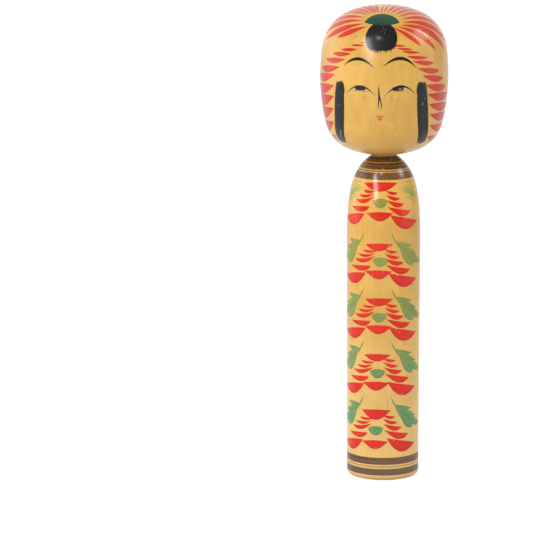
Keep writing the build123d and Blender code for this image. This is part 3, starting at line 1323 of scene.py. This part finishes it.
CROWN_SPECKS = (
    # place seen from above, length and lean
    (-33.0, -34.0, 1.2, 0.4), (-17.0, -36.0, 1.6, -0.6), (-17.4, -28.2, 2.2, 0.7),
    (-31.0, -28.4, 1.5, -0.3), (-20.5, -36.6, 0.9, 0.2), (31.5, -22.5, 1.3, 0.6),
)
LOCK_NICKS = (
    # place round the head, height and length
    (30.8, 248.0, 0.9), (29.0, 245.2, 2.0), (25.4, 226.6, 0.9), (30.6, 236.0, 0.5),
    (-31.5, 227.0, 3.6), (-33.4, 223.5, 2.4), (-29.4, 243.0, 0.6),
)
FORELOCK_NICKS = ((1.4, -34.4), (3.0, -35.4), (0.6, -36.2), (2.4, -37.6), (-6.0, -41.0))
FACE_STAINS = (
    # place round the head, height, length and half width
    (7.4, 251.2, 4.6, 1.3), (11.0, 248.9, 2.6, 0.9), (-10.4, 250.4, 3.4, 2.2),
)
TRUNK_SPECKS = (
    # start, end, and swell to the left and right
    ((-24.9, 171.8), (-23.0, 171.3), 0.4, 0.5), ((16.2, 91.6), (16.5, 87.0), 0.35, 0.35),
    ((1.6, 163.6), (-0.6, 157.6), 0.14, 0.14),
)
PETAL_CHIPS = (
    # place round the body, height and length
    (10.6, 134.2, 1.4), (-7.8, 173.6, 1.8), (12.0, 97.4, 1.0), (8.6, 27.0, 1.2),
)


class KOKESHI_OT_add_wear(bpy.types.Operator):
    """Add the specks, scuffs and nicks of an old doll"""

    bl_idname = "kokeshi.add_wear"
    bl_label = "Add the Wear"

    def execute(self, context):
        crown, face, trunk, nicks, chips, dots, stains = (Strokes(seed) for seed in range(21, 28))
        dark = paint_material(
            "dark_specks", srgb(96, 76, 44), cover=0.75, streaks=0.3, soft_edge=0.5, wear=0.0
        )
        for x, y, long, lean in CROWN_SPECKS:
            crown.mark(x, y, long, lean, 0.45, layer=3)
        paint_on_head(crown, "crown_specks", dark, above=True)
        for speck in TRUNK_SPECKS:
            trunk.add(*speck, layer=3)
        paint_on_body(trunk, "trunk_specks", dark)
        # a paler grey patch across the right eye's dark iris
        rubbed = head_paint("rubbed_ink", srgb(80, 84, 74), cover=1.0, streaks=0.3, wear=0.0)
        face.petal((11.5, 254.3), (14.0, 254.3), 0.9, 0.6, taper=(0.4, 0.4), layer=3)
        paint_on_head(face, "rubbed_places", rubbed)
        pale = head_paint("pale_nicks", srgb(178, 176, 160), cover=0.9, streaks=0.2, wear=0.0)
        for x, z, long in LOCK_NICKS:
            nicks.mark(x, z, long, -0.4, 0.09 * (1 + long), 0.16, layer=5)
        paint_on_head(nicks, "lock_nicks", pale)
        for x, y in FORELOCK_NICKS:
            dots.mark(x, y, 0.5, 0.3, 0.13, layer=5)
        paint_on_head(dots, "forelock_nicks", pale, above=True)
        stain = head_paint(
            "old_stains", srgb(176, 118, 52), cover=0.46, streaks=0.2, soft_edge=0.46, wear=0.0
        )
        for x, z, long, wide in FACE_STAINS:
            stains.mark(x, z, long, -0.2, wide, taper=(0.5, 0.5))
        paint_on_head(stains, "face_stains", stain)
        for x, z, long in PETAL_CHIPS:
            chips.mark(x, z, long, 0.5, 0.22, layer=3)
        worn = paint_material(
            "pale_chips", srgb(240, 150, 120), cover=0.9, streaks=0.2, wear=0.0
        )
        paint_on_body(chips, "petal_chips", worn)
        return {"FINISHED"}


FLOOR_REACH = 8.0
FLOOR_CORNERS = ((-1, -1), (1, -1), (1, 1), (-1, 1))
# distances from the doll between which the floor's glow grows, and from what to what
FLOOR_GLOW = (0.6, 2.6, 0.64, 0.95)
FLOOR_GREY = 0.62
# how white the surroundings are when mirrored in gloss, against fully white when seen
WHITE_IN_GLOSS = 0.45
# the part of the doll's height that the lamps face, and how far from there they stand
LAMPS_FACE = 0.55
LAMPS_AWAY = 1.6
CAMERA_SENSOR = 36.0
CAMERA_SIGHT = 20.0
# how much away counts toward a direction being behind the doll, and left and up against it
BEHIND = (0.85, 0.4, 0.4)
LAMPS = (
    # name, power setting, degrees round to the doll's left and up, width and height in metres,
    # and degrees that the top leans to the left
    ("key_window", "key_power", -28.5, 27.5, (0.34, 1.2), 25.0),
    ("fill_window", "fill_power", 95.0, 40.0, (0.6, 0.6), 0.0),
    ("small_lamp", "small_power", -9.7, 50.0, (0.09, 0.05), 0.0),
    ("left_card", "card_power", -97.0, 8.0, (1.2, 1.4), 0.0),
    ("right_card", "card_power", 84.0, 8.0, (1.2, 1.4), 0.0),
)


def seen_white(w):
    """How white the surroundings are for a ray: fully when seen, less when mirrored in gloss."""
    kinds = ("Is Camera Ray", "Is Transmission Ray", "Is Glossy Ray")
    camera, through, gloss = w.node("ShaderNodeLightPath", out=kinds)
    return w.number("MAXIMUM", w.number("MAXIMUM", camera, through), gloss * WHITE_IN_GLOSS)


class KOKESHI_OT_set_stage(bpy.types.Operator):
    """Set the floor, the lamps, the surroundings and the camera"""

    bl_idname = "kokeshi.set_stage"
    bl_label = "Set the Stage"

    def execute(self, context):
        scene = context.scene
        stage = scene.kokeshi_stage
        scene.view_settings.view_transform = "Standard"
        self.floor()
        self.surroundings(scene, stage)
        for name, power, *place in LAMPS:
            self.lamp(name, getattr(stage, power), *place)
        data = bpy.data.cameras.new("camera")
        data.lens, data.sensor_width = stage.focal_length, CAMERA_SENSOR
        data.clip_end = CAMERA_SIGHT
        camera = new_piece("camera", data)
        round_about = Matrix.Rotation(stage.heading, 3, "Z")
        camera.location = round_about @ Vector((-stage.sideways, -stage.distance, stage.height))
        tilt = Matrix.Rotation(pi / 2 - stage.tilt, 3, "X")
        facing = round_about @ tilt @ Matrix.Rotation(stage.roll, 3, "Z")
        camera.rotation_euler = facing.to_euler()
        scene.camera = camera
        return {"FINISHED"}

    def floor(self):
        """A plain white floor that keeps the shadow and glows more the farther off it is."""
        mesh = bpy.data.meshes.new("floor")
        corners = [(x * FLOOR_REACH, y * FLOOR_REACH, 0) for x, y in FLOOR_CORNERS]
        mesh.from_pydata(corners, [], [(0, 1, 2, 3)])
        floor = new_piece("floor", mesh)
        material = bpy.data.materials.new("floor_white")
        material.use_nodes = True
        shader = material.node_tree.nodes["Principled BSDF"]
        for socket, value in (
            ("Base Color", (FLOOR_GREY, FLOOR_GREY, FLOOR_GREY, 1)), ("Roughness", 0.9),
            ("Specular IOR Level", 0.0), ("Emission Color", (1, 1, 1, 1)),
        ):
            shader.inputs[socket].default_value = value
        w = Wiring("floor", material.node_tree)
        away = w.vector("LENGTH", w.node("ShaderNodeTexCoord", out="Object"))
        glow = seen_white(w) * w.remap(away, *FLOOR_GLOW)
        w.join(glow, shader.inputs["Emission Strength"])
        mesh.materials.append(material)

    def surroundings(self, scene, stage):
        """White behind the doll and wherever it is seen, dimmer in front."""
        scene.world = bpy.data.worlds.new("surroundings")
        scene.world.use_nodes = True
        w = Wiring("surroundings", scene.world.node_tree)
        back = scene.world.node_tree.nodes["Background"]
        left, depth, up = w.separate(w.node("ShaderNodeTexCoord", out="Generated"))
        behind = depth * BEHIND[0] - left * BEHIND[1] - up * BEHIND[2]
        level = w.remap(behind, -0.5, 0.9, stage.light_in_front, stage.light_behind)
        back.inputs["Color"].default_value = (1, 1, 1, 1)
        w.join(w.number("MAXIMUM", level, seen_white(w)), back.inputs["Strength"])

    def lamp(self, name, power, round_degrees, up_degrees, size, lean):
        """A soft lamp that faces the doll, upright or with its top leaning to the left."""
        data = bpy.data.lights.new(name, "AREA")
        data.shape = "RECTANGLE"
        data.size, data.size_y = size
        data.energy = power
        lamp = new_piece(name, data)
        turn, rise = radians(round_degrees), radians(up_degrees)
        way = Vector((sin(turn) * cos(rise), -cos(turn) * cos(rise), sin(rise)))
        lamp.location = Vector((0.0, 0.0, HEAD_HIGH.z * LAMPS_FACE)) + way * LAMPS_AWAY
        facing = way.to_track_quat("Z", "Y").to_matrix()
        lamp.rotation_euler = (facing @ Matrix.Rotation(radians(lean), 3, "Z")).to_euler()


OPERATORS = (
    KOKESHI_OT_set_stage, KOKESHI_OT_turn_wood, KOKESHI_OT_paint_crown, KOKESHI_OT_paint_hair,
    KOKESHI_OT_paint_face, KOKESHI_OT_paint_flowers, KOKESHI_OT_paint_bands,
    KOKESHI_OT_add_wear,
)
GROUPS = {
    "kokeshi_head": KokeshiHeadForm,
    "kokeshi_body": KokeshiBodyForm,
    "kokeshi_paints": KokeshiPaints,
    "kokeshi_stage": KokeshiStage,
}


class KOKESHI_PT_panel(bpy.types.Panel):
    """Sizes, colours and steps of the doll"""

    bl_label = "Kokeshi Doll"
    bl_space_type = "VIEW_3D"
    bl_region_type = "UI"
    bl_category = "Kokeshi"

    def draw(self, context):
        for group in GROUPS:
            column = self.layout.column(align=True)
            settings = getattr(context.scene, group)
            for name in settings.bl_rna.properties.keys():
                if name not in ("rna_type", "name"):
                    column.prop(settings, name)
        for operator in OPERATORS:
            self.layout.operator(operator.bl_idname)


CLASSES = (*GROUPS.values(), *OPERATORS, KOKESHI_PT_panel)


def register():
    """Adds the classes and their settings."""
    for cls in CLASSES:
        bpy.utils.register_class(cls)
    for name, group in GROUPS.items():
        setattr(bpy.types.Scene, name, PointerProperty(type=group))


def unregister():
    """Takes them away again."""
    for name in GROUPS:
        delattr(bpy.types.Scene, name)
    for cls in reversed(CLASSES):
        bpy.utils.unregister_class(cls)


def main():
    """Makes the doll and its stage."""
    register()
    for operator in OPERATORS:
        group, name = operator.bl_idname.split(".")
        getattr(getattr(bpy.ops, group), name)()


if __name__ == "__main__":
    main()
